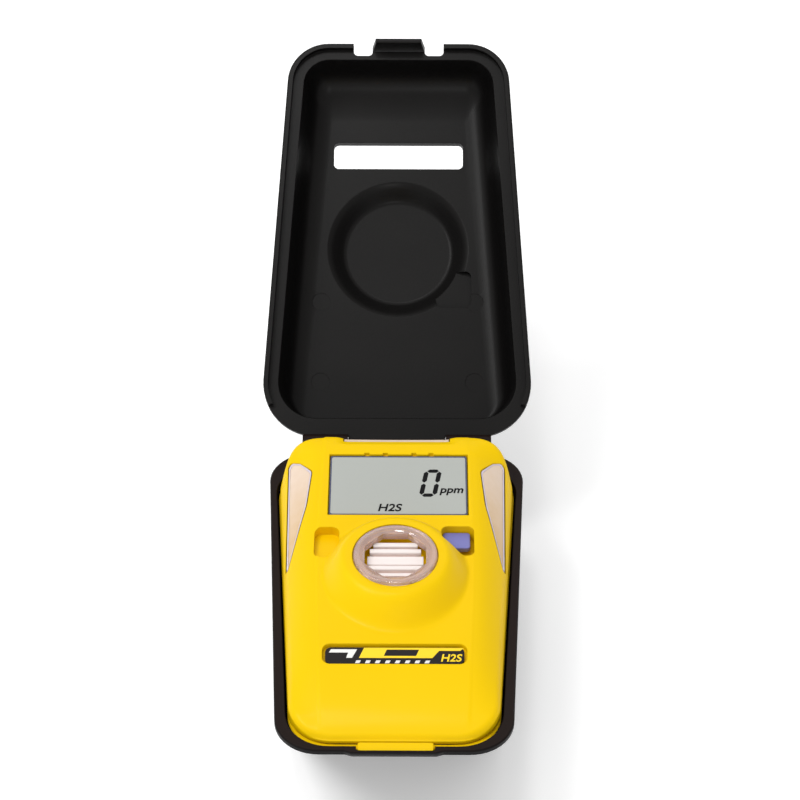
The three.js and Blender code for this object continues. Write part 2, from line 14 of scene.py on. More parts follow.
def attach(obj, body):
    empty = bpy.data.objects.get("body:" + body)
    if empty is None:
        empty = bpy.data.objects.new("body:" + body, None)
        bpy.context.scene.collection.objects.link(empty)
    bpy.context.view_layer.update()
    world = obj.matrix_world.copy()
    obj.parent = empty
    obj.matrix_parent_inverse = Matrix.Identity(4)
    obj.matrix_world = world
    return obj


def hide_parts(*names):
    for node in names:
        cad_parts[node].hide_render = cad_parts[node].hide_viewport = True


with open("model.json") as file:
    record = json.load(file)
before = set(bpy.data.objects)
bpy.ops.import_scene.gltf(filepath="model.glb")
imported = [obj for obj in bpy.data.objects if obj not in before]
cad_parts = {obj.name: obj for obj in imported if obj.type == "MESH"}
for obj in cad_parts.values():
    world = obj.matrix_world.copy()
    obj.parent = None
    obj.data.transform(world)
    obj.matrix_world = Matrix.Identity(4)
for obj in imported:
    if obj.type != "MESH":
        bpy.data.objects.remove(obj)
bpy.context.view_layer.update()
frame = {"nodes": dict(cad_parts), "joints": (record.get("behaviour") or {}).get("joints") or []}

MM = 0.001
JOINTS = {j["name"]: j for j in frame["joints"]}
HINGE = Vector(JOINTS["lid_hinge"]["pos_m"])
LID_TURN = math.radians(JOINTS["lid_hinge"]["range_deg"][0])
TO_ROW = Matrix.Translation(HINGE) @ Matrix.Scale(MM, 4)
TO_OPEN_LID = Matrix.Translation(HINGE) @ Matrix.Rotation(LID_TURN, 4, "X") @ Matrix.Scale(MM, 4)
UP = Vector((0, 0, 1))
LID_UP = Matrix.Rotation(LID_TURN, 3, "X") @ UP

# ---- driving dimensions, in millimetres ----------------------------------------------------------
SEAM = -1.0  # where the detector's two shells meet
BACK = -13.5  # detector's back face
TRAY_FLOOR = -29.0  # inside of the tray
UNDERSIDE = -HINGE.z / MM
KNUCKLE_R = 2.3
PIN_R = 1.2
STRAP = 6.0  # how far the knuckles' straps reach from the pin
DOME_D = 48.7  # centre of the sensor dome, from the hinge pin
LENS_R = 8.75
DISH_D = 48.8  # centre of the lid's dish over the dome
DISPLAY = (15.2, 14.0, 31.8)  # half width, nearest and furthest distance from the hinge pin
PLATE = (14.4, 68.1, 72.7)
SLOT = (15.05, 68.3, 74.7)  # the lid's slot over the plate
TAB = (0.3, 7.5, 91.5)  # the rear shell's tab: middle, half width and end
NOTCH = (8.2, 2.2)  # place and half width of the notches beside the latch


# ---- outlines ------------------------------------------------------------------------------------
def rounded_loop(corners, arc=6, side=1):
    """Closed outline; its corners (x, y, radius) are arcs of `arc` steps, its straights have `side` steps."""
    arcs = []
    for i, (x, y, r) in enumerate(corners):
        here = Vector((x, y))
        before = (Vector(corners[i - 1][:2]) - here).normalized()
        after = (Vector(corners[(i + 1) % len(corners)][:2]) - here).normalized()
        if r <= 0:
            arcs.append([here])
            continue
        half = before.angle(after) / 2
        middle = here + (before + after).normalized() * (r / math.sin(half))
        start = here + before * (r / math.tan(half)) - middle
        sweep = (math.pi - 2 * half) * (1 if before.x * after.y - before.y * after.x < 0 else -1)
        arcs.append([middle + Matrix.Rotation(sweep * k / arc, 2) @ start for k in range(arc + 1)])
    points = []
    for i, here in enumerate(arcs):
        there = arcs[(i + 1) % len(arcs)][0]
        points += here + [here[-1].lerp(there, k / side) for k in range(1, side)]
    return points


def plan(start, end, hinge_half, latch_half, hinge_r=9.0, latch_r=9.0, by=0.0, arc=12, side=6):
    """Tapering outline between two distances from the hinge pin, drawn in by `by` all round."""
    start, end, hinge_half, latch_half = start + by, end - by, hinge_half - by, latch_half - by
    hinge_r, latch_r = max(hinge_r - by, 0.3), max(latch_r - by, 0.3)
    corners = [
        (-hinge_half, -start, hinge_r), (-latch_half, -end, latch_r),
        (latch_half, -end, latch_r), (hinge_half, -start, hinge_r),
    ]
    return rounded_loop(corners, arc, side)


RIM = dict(start=2.7, end=91.8, hinge_half=28.3, latch_half=23.5)
MOUTH = dict(start=6.8, end=90.6, hinge_half=26.8, latch_half=21.3, hinge_r=9.0, latch_r=9.0)
LID = dict(start=2.0, end=95.0, hinge_half=30.8, latch_half=25.0, hinge_r=12.0, latch_r=9.5)
FRONT = dict(start=7.3, end=89.0, hinge_half=25.9, latch_half=20.8)
REAR = dict(start=7.3, end=90.1, hinge_half=26.3, latch_half=20.8)


def smooth(x, low, high):
    """0 below low, 1 above high, and an easy curve between; low may be the larger one."""
    t = min(max((x - low) / (high - low), 0.0), 1.0)
    return t * t * (3 - 2 * t)


def along(x, stops):
    """Smooth curve through (x, value) stops."""
    if x <= stops[0][0]:
        return stops[0][1]
    slopes = [(b[1] - a[1]) / (b[0] - a[0]) for a, b in zip(stops, stops[1:])]
    for k, ((x0, v0), (x1, v1)) in enumerate(zip(stops, stops[1:])):
        if x <= x1:
            wide = x1 - x0
            t = (x - x0) / wide
            rise0 = (slopes[max(k - 1, 0)] + slopes[k]) / 2 * wide
            rise1 = (slopes[k] + slopes[min(k + 1, len(slopes) - 1)]) / 2 * wide
            start = v0 * (2 * t ** 3 - 3 * t ** 2 + 1) + rise0 * (t ** 3 - 2 * t ** 2 + t)
            return start + v1 * (3 * t ** 2 - 2 * t ** 3) + rise1 * (t ** 3 - t ** 2)
    return stops[-1][1]


# ---- mesh building -------------------------------------------------------------------------------
def net(across, up, place, caps=True):
    """A create_grid sheet whose corners (i, j) are moved by place, its first and last columns joined."""
    bm = bmesh.new()
    bmesh.ops.create_grid(bm, x_segments=across, y_segments=up, size=0.5)
    for v in bm.verts:
        i, j = round((v.co.x + 0.5) * across), round((v.co.y + 0.5) * up)
        v.co = place(i % across, j)
    bmesh.ops.remove_doubles(bm, verts=bm.verts, dist=1e-4)
    if caps:
        bmesh.ops.holes_fill(bm, edges=[e for e in bm.edges if e.is_boundary])
    bmesh.ops.recalc_face_normals(bm, faces=bm.faces)
    return bm


def loft(rings):
    """Closed solid through rings [(outline, z), ...] that have equally many points."""
    count = len(rings[0][0])

    def place(i, j):
        outline, z = rings[j]
        return (*outline[i], z)

    return net(count, len(rings) - 1, place)


def turned(profile, d, x=0.0):
    """Solid of revolution about an upright axis; the profile is [(radius, z), ...] from axis to axis."""
    steps = 96

    def place(i, j):
        angle = 2 * math.pi * i / steps
        r, z = profile[j]
        return (x + r * math.cos(angle), -d + r * math.sin(angle), z)

    return net(steps, len(profile) - 1, place, caps=False)


def box(x0, x1, d0, d1, z0, z1, r=0.0):
    """Upright box between two x, two distances and two heights, its upright edges rounded by r."""
    outline = rounded_loop([(x0, -d0, r), (x0, -d1, r), (x1, -d1, r), (x1, -d0, r)])
    return loft([(outline, z0), (outline, z1)])


def rod(r, left, right):
    """Round bar along the hinge pin's axis."""
    bm = bmesh.new()
    bmesh.ops.create_cone(
        bm, cap_ends=True, segments=40, radius1=r, radius2=r, depth=right - left,
        matrix=Matrix.Translation(((left + right) / 2, 0, 0)) @ Matrix.Rotation(math.pi / 2, 4, "Y"),
    )
    return bm


def bar(profile, left, right):
    """Side profile [(d, z, rounding), ...] carried across between two x values."""
    outline = rounded_loop([(-d, z, r) for d, z, r in profile])
    return net(len(outline), 1, lambda i, j: (right if j else left, outline[i].x, outline[i].y))


def bevelled(bm, width):
    """Rounds every edge that turns by more than 40 degrees."""
    edges = [e for e in bm.edges if len(e.link_faces) == 2 and e.calc_face_angle(0) > math.radians(40)]
    bmesh.ops.bevel(
        bm, geom=edges, offset=width, offset_type="OFFSET", segments=2, profile=0.5,
        affect="EDGES", material=-1, clamp_overlap=True,
    )
    return bm


def body(bm, name="tool"):
    """Object that holds a mesh's only copy."""
    mesh = bpy.data.meshes.new(name)
    bm.to_mesh(mesh)
    bm.free()
    made = bpy.data.objects.new(name, mesh)
    bpy.context.scene.collection.objects.link(made)
    return made


def work(target, tools, how):
    """Boolean of the target with each tool in turn; the tools are used up."""
    for tool in tools:
        tool = body(tool)
        step = target.modifiers.new("cut", "BOOLEAN")
        step.object = tool
        step.operation = how
        step.solver = "MANIFOLD"
        baked = bpy.data.meshes.new_from_object(target.evaluated_get(bpy.context.evaluated_depsgraph_get()))
        target.modifiers.clear()
        target.data = baked
        bpy.data.objects.remove(tool)
    return target


def finish_piece(made, name, rides, material, replaced=(), to_row=TO_ROW, sharp=35):
    """Names a piece, moves it from the hinge frame into the row frame and says what it is."""
    made.name = made.data.name = name
    made.data.transform(to_row)
    made.data.materials.clear()
    made.data.materials.append(material)
    made.data.polygons.foreach_set("use_smooth", [True] * len(made.data.polygons))
    made.data.set_sharp_from_angle(angle=math.radians(sharp))
    made.modifiers.new("even shading", "WEIGHTED_NORMAL").keep_sharp = True
    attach(made, rides)
    if replaced:
        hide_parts(*replaced)
    return made


# ---- shader maths --------------------------------------------------------------------------------
class Sock:
    """A shader socket, or a number, that takes part in Python expressions."""

    def __init__(self, tree, value):
        self.tree, self.value = tree, value

    def _math(self, operation, *others):
        return self.tree.node("ShaderNodeMath", {"operation": operation}, [self, *others])

    def __add__(self, other):
        return self._math("ADD", other)

    def __sub__(self, other):
        return self._math("SUBTRACT", other)

    def __rsub__(self, other):
        return self.tree.node("ShaderNodeMath", {"operation": "SUBTRACT"}, [other, self])

    def __mul__(self, other):
        return self._math("MULTIPLY", other)

    __radd__, __rmul__ = __add__, __mul__

    def __abs__(self):
        return self._math("ABSOLUTE")


class Tree:
    """A new material's nodes."""

    def __init__(self, name):
        self.material = bpy.data.materials.new(name)
        self.material.use_nodes = True
        self.nodes = self.material.node_tree.nodes
        self.links = self.material.node_tree.links
        self.shader = self.nodes["Principled BSDF"]

    def node(self, kind, settings=None, inputs=(), output=0):
        made = self.nodes.new(kind)
        for key, value in (settings or {}).items():
            setattr(made, key, value)
        pairs = inputs.items() if isinstance(inputs, dict) else enumerate(inputs)
        for key, value in pairs:
            self.feed(made.inputs[key], value)
        return Sock(self, made.outputs[output])

    def feed(self, socket, value):
        if isinstance(value, Sock):
            self.links.new(value.value, socket)
        else:
            socket.default_value = value

    def set(self, **values):
        for key, value in values.items():
            self.feed(self.shader.inputs[key.replace("_", " ")], value)
        return self

    def place(self):
        """Object coordinates in millimetres."""
        where = self.node("ShaderNodeTexCoord", output="Object")
        return self.node("ShaderNodeVectorMath", {"operation": "SCALE"}, {0: where, "Scale": 1 / MM})

    def noise(self, scale, detail=2.0):
        return self.node("ShaderNodeTexNoise", {}, {"Vector": self.place(), "Scale": scale, "Detail": detail})

    def mix(self, factor, low, high):
        return self.node("ShaderNodeMix", {"data_type": "RGBA"}, {0: factor, 6: low, 7: high}, output=2)

    def bump(self, height, strength, distance_mm, edge_mm):
        """Surface grain, on a normal that runs softly round edges of radius edge_mm."""
        eased = self.node("ShaderNodeBevel", {"samples": 4}, {"Radius": edge_mm * MM})
        values = {"Height": height, "Strength": strength, "Distance": distance_mm * MM, "Normal": eased}
        return self.set(Normal=self.node("ShaderNodeBump", {}, values))


def colour(*display):
    """Linear colour from red, green and blue as 0-255 display values."""
    shares = [value / 255 for value in display]
    return (*[((s + 0.055) / 1.055) ** 2.4 if s > 0.04045 else s / 12.92 for s in shares], 1.0)


def case_black(name, upright, low, high):
    """Black moulding with fine texture and mottled flats; surfaces turned away from the upright axis take a
    much darker colour, painted shade on the walls.
    """
    tree = Tree(name)
    grain = tree.noise(2.6, 3.0)
    mottle = tree.noise(0.09)
    facing = tree.node("ShaderNodeTexCoord", output="Normal")
    level = tree.node("ShaderNodeVectorMath", {"operation": "DOT_PRODUCT"}, [facing, upright], output="Value")
    flat = tree.node("ShaderNodeMapRange", {"interpolation_type": "SMOOTHSTEP"}, [abs(level), 0.5, 0.98])
    flats = tree.mix(mottle, colour(*low), colour(*high))
    # Painted shade: the walls, turned away from the upright axis, get this much darker colour than the flats.
    painted_wall_shade = colour(9, 8, 8)
    tree.set(Base_Color=tree.mix(flat, painted_wall_shade, flats))
    tree.set(Roughness=0.4 + 0.16 * grain, Specular_IOR_Level=0.08, Coat_Weight=0.08, Coat_Roughness=0.28)
    tree.bump(grain, 0.5, 0.05, 0.3)
    return tree.material


def shell_yellow():
    """Satin yellow moulding of the detector's two shells."""
    tree = Tree("shell_yellow")
    ripple = tree.noise(0.05)
    grain = tree.noise(3.2)
    tree.set(Base_Color=tree.mix(ripple, colour(229, 188, 0), colour(233, 193, 0)))
    tree.set(Roughness=0.4 + 0.08 * grain, Specular_IOR_Level=0.08, Coat_Weight=0.04, Coat_Roughness=0.15)
    tree.bump(grain, 0.12, 0.02, 0.3)
    return tree.material


def plain(name, rgb, roughness, metallic=0.0, scale=1.5, vary=6, **more):
    """A moulded or metal finish: two close tones, and grain in its gloss and surface."""
    tree = Tree(name)
    grain = tree.noise(scale, 3.0)
    darker = colour(*[max(c - vary, 0) for c in rgb])
    tree.set(Base_Color=tree.mix(grain, darker, colour(*rgb)), Metallic=metallic)
    tree.set(Roughness=roughness + 0.1 * (grain - 0.5), **more)
    tree.bump(grain, 0.3, 0.02, 0.12)
    return tree.material


def light_clear():
    """Clear plastic of the light windows: rosy near the hinge, darkening to tan towards the latch as painted
    shade.
    """
    tree = Tree("light_window")
    cloud = tree.noise(0.35, 3.0)
    y = tree.node("ShaderNodeSeparateXYZ", {}, [tree.place()], output="Y")
    ends = [HINGE.y / MM - d for d in (42.0, 12.0)]
    # Painted shade: the colour darkens from rosy to tan towards the latch.
    shade_fade = tree.node("ShaderNodeMapRange", {"interpolation_type": "SMOOTHSTEP"}, [y, *ends])
    tree.set(Base_Color=tree.mix(shade_fade + 0.5 * (cloud - 0.5), colour(206, 172, 126), colour(220, 199, 180)))
    tree.set(Roughness=0.2 + 0.1 * cloud)
    tree.bump(cloud, 0.3, 0.02, 0.12)
    return tree.material


MATERIALS = {
    # The tray's brown tint is painted light reflected from the yellow detector; the lid's pair below is
    # neutral black.
    "case": case_black("case_black", UP, (21, 10, 7), (26, 14, 10)),
    "lid": case_black("lid_black", LID_UP, (16, 15, 15), (22, 21, 20)),
    "yellow": shell_yellow(),
    "steel": plain("pin_steel", (178, 180, 184), 0.3, 1.0),
    "clip": plain("clip_steel", (186, 187, 190), 0.28, 1.0, scale=0.8),
    "display": plain("display_face", (166, 169, 164), 0.35, vary=2),
    "ink": plain("display_segments", (9, 9, 11), 0.6, Specular_IOR_Level=0.15),
    "frame_line": plain("display_edge", (70, 76, 100), 0.4),
    "window": light_clear(),
    # Painted highlight: the pale colour of the lip round each shoulder light.
    "window_lip_highlight": plain("light_window_lip_highlight", (206, 196, 204), 0.2, vary=5),
    "ring": plain(
        "clear_ring", (244, 218, 208), 0.05, vary=8, Transmission_Weight=0.7, IOR=1.49, Coat_Weight=0.6
    ),
    "plate_yellow": plain("plate_yellow", (248, 212, 20), 0.35),
    "plate_white": plain("plate_white", (232, 232, 230), 0.35),
    "grille_back_shade": plain("grille_shade", (242, 206, 192), 0.4, vary=6),
    "grille": plain("grille_white", (236, 226, 222), 0.35, vary=3),
    "button": plain("button_violet", (116, 118, 186), 0.4),
    "plate_ground": plain("plate_black", (30, 26, 28), 0.3, Specular_IOR_Level=0.25),
    "seal": plain("seal_rubber", (26, 24, 24), 0.8),
    "dark": plain("dark_part", (38, 38, 42), 0.5),
    "board": plain("board_green", (24, 84, 44), 0.45),
    "led": plain("led_epoxy", (238, 226, 220), 0.15),
    "membrane": plain("filter_film", (240, 236, 230), 0.9),
}


# ---- case ----------------------------------------------------------------------------------------
def ease(low, high, t):
    """Outline measures part of the way from one outline's to another's."""
    return {key: low[key] + (high[key] - low[key]) * t for key in low}


FLOOR_OUT = dict(start=8.6, end=61.0, hinge_half=25.4, latch_half=23.2, hinge_r=7.0, latch_r=7.0)
WALL_OUT = dict(start=4.8, end=91.4, hinge_half=27.4, latch_half=22.9, hinge_r=8.2, latch_r=8.2)
FLOOR_IN = dict(start=9.6, end=61.0, hinge_half=23.8, latch_half=21.8, hinge_r=6.5, latch_r=6.5)


def tray_rings(top, floor, z_top, z_floor, fillet):
    """Rings of a hull from its mouth to its floor, with a fillet where wall meets floor."""
    depth = z_top - z_floor
    straight = depth - fillet
    rings = []
    for k in range(5):
        t = k / 5
        rings.append((plan(**ease(top, floor, t * straight / depth)), z_top - t * straight))
    foot = ease(top, floor, straight / depth)
    steps = 6
    for k in range(steps + 1):
        angle = math.pi / 2 * k / steps
        down = straight + fillet * math.sin(angle)
        rings.append((plan(**foot, by=fillet * (1 - math.cos(angle))), z_top - down))
    return rings


def latch_bulge():
    """The rim's bulge under the latch, its hook edge drawn back towards its foot."""
    outline = [
        (-13, -84, 0), (-13, -90.6, 3), (-8.4, -92.3, 1.6), (8.4, -92.3, 1.6), (13, -90.6, 3), (13, -84, 0),
    ]
    rings = []
    for by, z in ((6, -5.4), (0.5, -1.7), (0, -0.7), (0, -0.2), (0.2, 0)):
        rings.append((rounded_loop([(x, y + by if y < -90 else y, r) for x, y, r in outline]), z))
    return loft(rings)


def tray():
    """Lower half of the case: hull, rim, latch bulge, knuckles, lid stop and two pairs of ribs."""
    shell = body(loft(tray_rings(WALL_OUT, FLOOR_OUT, -0.9, UNDERSIDE, 3.2)))
    rim = loft([(plan(**RIM, by=by), z) for by, z in ((0.25, -1.4), (0, -1.15), (0, -0.25), (0.25, 0))])
    knuckles = []
    for left, right in ((-21.0, -10.95), (10.95, 21.0)):
        knuckles += [rod(KNUCKLE_R, left, right), box(left, right, 0, STRAP, -KNUCKLE_R, -0.2)]
    stop = box(-8.5, 8.5, 2.7, STRAP, -7, -0.4, 0.8)
    work(shell, [rim, latch_bulge(), *knuckles, stop], "UNION")
    hollow = loft(tray_rings(MOUTH, FLOOR_IN, 0.4, TRAY_FLOOR, 3.0))
    straight = loft([(plan(**MOUTH), -1.5), (plan(**MOUTH), 0.5)])
    tab_pocket = box(-7.5, 8.1, 84, 91.7, -1.7, 1, 0.4)
    work(shell, [hollow, straight, tab_pocket, rod(PIN_R, -22, 22)], "DIFFERENCE")
    ribs = []
    for x in (-20.3, 20.3):
        for near, far in ((16, 26), (50, 58)):
            ribs.append(box(x - 0.8, x + 0.8, near, far, TRAY_FLOOR - 0.5, BACK - 0.3, 0.5))
    work(shell, ribs, "UNION")
    return finish_piece(shell, "tray", "case", MATERIALS["case"], ["case_base"])


# How far in from the lid's outline each of its walls has come, (by, z)
LID_INSIDE = [
    (3.35, -0.4), (3.45, 0), (3.7, 0.5), (4.4, 4.5), (5.0, 6.6), (5.7, 8.1), (6.7, 9.2), (8.0, 9.8),
    (9.6, 10),
]
LID_OUTSIDE = [(2.5, 0.6), (3.0, 6.5), (3.7, 9.4), (4.8, 11.1), (6.4, 11.9), (8.0, 12.0)]
LID_FLANGE = [(0.3, 1.6), (0, 1.3), (0, -1.2), (0.3, -1.5)]


def lid_plan(by, **changed):
    """The lid's outline drawn in by `by`, finely stepped."""
    return plan(**{**LID, **changed}, by=by, arc=14, side=10)


def lid_cavity():
    """The hollow, whose end walls lean in more than its sides where they meet the floor."""
    rings = []
    for by, z in LID_INSIDE:
        extra = max(by - 4.4, 0)
        start = LID["start"] + (0.5 - extra * 0.8)
        end = LID["end"] - extra * 1.05
        rings.append((lid_plan(by, start=start, end=end), z))
    return loft(rings)


def lid_shell(steps):
    return loft([(lid_plan(by), z) for by, z in steps])


def dish(extra, floor, mouth):
    """The round dish over the sensor dome, as a turned body; extra is the wall's thickness outside it."""
    wall = [(16.3, 10.05), (15.7, 10.3), (14.9, 11.0), (13.7, 12.2), (12.8, 13.1), (12.3, 13.42)]
    outer = [(r + extra, z + extra * 0.9) for r, z in wall]
    return turned([(0, mouth), (17.4 + extra, mouth), *outer, (11.8 + extra, floor), (0, floor)], DISH_D)


def stop_heel():
    """The lid's heel, drawn where it meets the tray's stop and turned back to the closed lid."""
    corners = [(-0.6, -0.8), (-0.6, -5.6), (2.3, -5.6), (2.3, -0.8)]
    cos, sin = math.cos(-LID_TURN), math.sin(-LID_TURN)
    return bar([(d * cos + z * sin, z * cos - d * sin, 0) for d, z in corners], -8, 8)


def lid():
    """Upper half of the case, with its dish, the bump over the button, the slot and the latch's notches."""
    shell = body(lid_shell(LID_FLANGE))
    bump = box(7.4, 18.2, 33.4, 44.6, 10.5, 13.2, 2)
    strap = box(-10.85, 10.85, 0, STRAP, 0.2, KNUCKLE_R)
    knuckle = rod(KNUCKLE_R, -10.85, 10.85)
    work(shell, [lid_shell(LID_OUTSIDE), dish(1.9, 15.3, 10.5), bump, knuckle, strap, stop_heel()], "UNION")
    half, near, far = SLOT
    cuts = [
        lid_shell([(1.15, -3), (1.15, 0)]), lid_cavity(), dish(0, 13.5, 9.4), box(-40, 40, -4, 9, -3, 0),
        box(8.7, 16.9, 34.8, 43.4, 9.4, 11.3, 1.3), box(-half, half, near, far, 5, 20, 1.2),
        box(-6.2, 6.2, 93.5, 99, -5, 1.7), rod(PIN_R, -12, 12),
    ]
    for x in (-NOTCH[0], NOTCH[0]):
        cuts.append(box(x - NOTCH[1], x + NOTCH[1], 92.5, 99, -5, 5, 1.0))
    ejector_mark = [(0, 9.8), (2.1, 9.8), (2.1, 10.07), (0, 10.07)]
    cuts += [turned(ejector_mark, d, x) for x in (-17.6, 17.6) for d in (17, 36)]
    work(shell, cuts, "DIFFERENCE")
    return finish_piece(shell, "lid", "lid", MATERIALS["lid"], ["case_lid"], TO_OPEN_LID)


def tongue():
    """Latch blade, a little narrower at its free end."""
    blade = bar([(93.85, -4.7, 0.4), (95.0, -4.7, 0.4), (95.1, 1.4, 0), (93.85, 1.4, 0)], -5.9, 5.9)
    for v in blade.verts:
        v.co.x *= 1.03 - 0.024 * (1.4 - v.co.z)
    return finish_piece(
        body(blade), "latch_tongue_moulding", "latch", MATERIALS["lid"], ["latch_tongue"],
        TO_OPEN_LID,
    )


# ---- detector ------------------------------------------------------------------------------------
# Half width of the face's flat middle, and its height, at distances from the hinge pin
BAND = [(7, 15.7), (14, 15.9), (45, 16.5), (70, 15.6), (87, 14.9), (90, 14.8)]
RIDGE = [
    (7.3, 8.7), (8.2, 9.25), (10, 9.5), (12.5, 9.4), (14.2, 9.1), (33, 8.1), (40, 7.5), (48, 7.0),
    (60, 6.3), (68, 5.6), (74, 4.9), (79, 3.8), (83, 2.6), (86.5, 1.2), (89.0, -0.1),
]


def front_height(x, d, half):
    """Height of the detector's face at x across and d from the hinge pin, where its outline is half wide."""
    crease = 0.28 if x < 0 else 0.12
    x = abs(x)
    top = along(d, RIDGE)
    band = along(d, BAND)
    edge = min(1.9 + 6.4 * smooth(d, 14.5, 7.5), top - 0.4)
    out = min(max(x - band, 0) / max(half - band, 0.5), 1)
    z = edge + (top - edge) * (1 - out ** 1.7)
    z -= crease * smooth(x, band - 0.25, band + 0.35) * smooth(d, 88, 84)
    top_window_dip = 0.55 * smooth(x, 13.4, 10.6) * smooth(d, 11.0, 9.3)
    return z - top_window_dip


def dome_height(x, d):
    """Share (0 to 1) of the sensor dome's rise at a point."""
    r = math.hypot(x, d - DOME_D)
    below = max((d - DOME_D) / max(r, 0.01), 0)
    foot = 15.3 + 0.9 * below ** 2
    return smooth(r, foot, 10.4) ** (0.75 + 0.15 * below)


def front_skin(x, d, half):
    """Height of the face with the sensor dome on it; the dome's top slopes towards the latch."""
    base = front_height(x, d, half)
    top = 12.25 - 0.04 * (d - DOME_D)
    return base + (top - base) * dome_height(x, d)


def side_half(d):
    """Half width of the front shell's outline at a distance from the hinge pin."""
    share = (d - FRONT["start"]) / (FRONT["end"] - FRONT["start"])
    return FRONT["hinge_half"] + (FRONT["latch_half"] - FRONT["hinge_half"]) * share


FRONT_SPINE = (22.0, 70.0)  # the rings of the front shell close in on this stretch of its middle line
FRONT_RINGS = 84


def front_solid(drop=0.0):
    """The front shell as a filled body, its face lowered by drop."""
    outline = plan(**FRONT, arc=28, side=84)
    near, far = FRONT_SPINE
    spine = [Vector((0, min(max(p.y, -far), -near))) for p in outline]

    def place(i, j):
        if j < 2:
            return (*outline[i], SEAM + j * 0.6)
        share = ((j - 1) / FRONT_RINGS) ** 1.45
        p = outline[i].lerp(spine[i], share)
        inward = (outline[i] - p).length
        z = front_skin(p.x, -p.y, side_half(-p.y)) - 0.8 * (1 - min(inward / 1.3, 1)) ** 2
        return (*p, max(z - drop, SEAM + 0.7))

    return net(len(outline), FRONT_RINGS + 1, place)


def light_prism(side, grow):
    """Teardrop of a shoulder light as an upright body."""
    corners = [
        (18.3 - grow, -18.0 + grow, 2.0), (21.0, -13.9 + grow, 1.5), (23.5 + grow, -12.2 + grow, 0.7),
        (22.9 + grow, -43.4 - 2 * grow, 0), (22.6, -43.4 - 2 * grow, 0), (19.2 - grow, -28, 14),
    ]
    outline = rounded_loop([(side * x, y, r) for x, y, r in corners][::side], 8)
    return loft([(outline, 1.2), (outline, 14)])


NUBS = (-6.4, -2.4, 3.8, 7.5)  # notches along the display's upper edge
POCKETS = (  # button pocket to the right of the dome, and its blind twin to the left
    dict(x0=9.6, x1=16.5, d0=35.3, d1=43.6, z0=4.2, r=1.4),
    dict(x0=-17.1, x1=-11.9, d0=35.6, d1=44.0, z0=5.7, r=1.6),
)
OVER = 14.0  # above the whole detector
PLAY = 0.25  # gap round a piece set in the shell


def front_shell():
    shell = body(front_solid())
    half, near, far = DISPLAY
    near_edge, far_edge = near - PLAY, far + PLAY
    display_profile = [(near_edge, 7.5, 0), (far_edge, 6.5, 0), (far_edge, OVER, 0), (near_edge, OVER, 0)]
    plate_half, plate_near, plate_far = PLATE
    plate_seat = box(
        -plate_half - PLAY, plate_half + PLAY, plate_near - PLAY, plate_far + PLAY, -0.9, 6, 1.6
    )
    seat_r, bore_r = LENS_R + 0.15, 7.1
    cuts = [
        bar(display_profile, -half + 0.7, half + PLAY),
        laid(plate_seat, plate_face),
        *[box(**pocket, z1=OVER) for pocket in POCKETS],
        box(-11.65, 11.65, 4, 9.35, 4.9, OVER),
        turned([(0, 10.5), (seat_r, 10.5), (seat_r, OVER), (0, OVER)], DOME_D),
        turned([(0, 8.4), (bore_r, 8.4), (bore_r, 11), (0, 11)], DOME_D),
        light_prism(1, 0.2),
        light_prism(-1, 0.2),
    ]
    cuts += [box(x - 0.55, x + 0.55, near - 0.65, near, 8.5, OVER, 0.15) for x in NUBS]
    work(shell, cuts, "DIFFERENCE")
    return finish_piece(
        shell, "front_shell", "detector", MATERIALS["yellow"], ["front_housing"], sharp=30
    )


def light_window(side):
    """A shoulder light: its clear pane, and the thin lip that stands just proud round it, coloured pale as a
    painted highlight.
    """
    word = "right" if side > 0 else "left"
    pane = work(body(front_solid(0.1)), [light_prism(side, -0.3)], "INTERSECT")
    lip = work(body(front_solid()), [light_prism(side, 0.0)], "INTERSECT")
    work(lip, [light_prism(side, -0.3)], "DIFFERENCE")
    finish_piece(
        pane, f"{word}_pane", "detector", MATERIALS["window"], [f"{word}_light_window"]
    )
    finish_piece(lip, f"{word}_pane_lip", "detector", MATERIALS["window_lip_highlight"])


def top_window():
    pane = work(body(front_solid(0.1)), [box(-11.4, 11.4, 5, 9.15, 5.2, 14)], "INTERSECT")
    finish_piece(pane, "top_pane", "detector", MATERIALS["window"], ["top_light_window"])


# Display and plate faces slope along the detector; these give their height at a distance from the hinge
def display_face(d):
    return 8.85 - (d - DISPLAY[1]) * 1.0 / 18.9


def plate_face(d):
    return 5.45 - (d - PLATE[1]) * 0.7 / 4.7


def laid(bm, face):
    """Lifts a body drawn about z = 0 onto a sloping face."""
    for v in bm.verts:
        v.co.z += face(-v.co.y)
    return bm


def flat_shape(points, thick=0.05):
    """Thin printed shape with square corners (x, d)."""
    outline = [Vector((x, -d)) for x, d in points]
    return loft([(outline, -0.05), (outline, thick)])


def lettering(text, height, x, d, face, bold):
    """Printed characters standing on a face, x at their left end and d at their foot."""
    curve = bpy.data.curves.new("text", "FONT")
    curve.body = text
    curve.size = height / 0.7
    curve.shear = 0.2
    curve.extrude = 0.03
    curve.offset = bold
    made = bpy.data.objects.new("text", curve)
    bpy.context.scene.collection.objects.link(made)
    mesh = bpy.data.meshes.new_from_object(made.evaluated_get(bpy.context.evaluated_depsgraph_get()))
    bpy.data.objects.remove(made)
    bm = bmesh.new()
    bm.from_mesh(mesh)
    bmesh.ops.translate(bm, vec=(x, -d, 0.03), verts=bm.verts)
    return laid(bm, face)


def merged(parts):
    """One mesh holding several separate bodies."""
    whole = bmesh.new()
    for bm in parts:
        mesh = bpy.data.meshes.new("part")
        bm.to_mesh(mesh)
        bm.free()
        whole.from_mesh(mesh)
    return whole


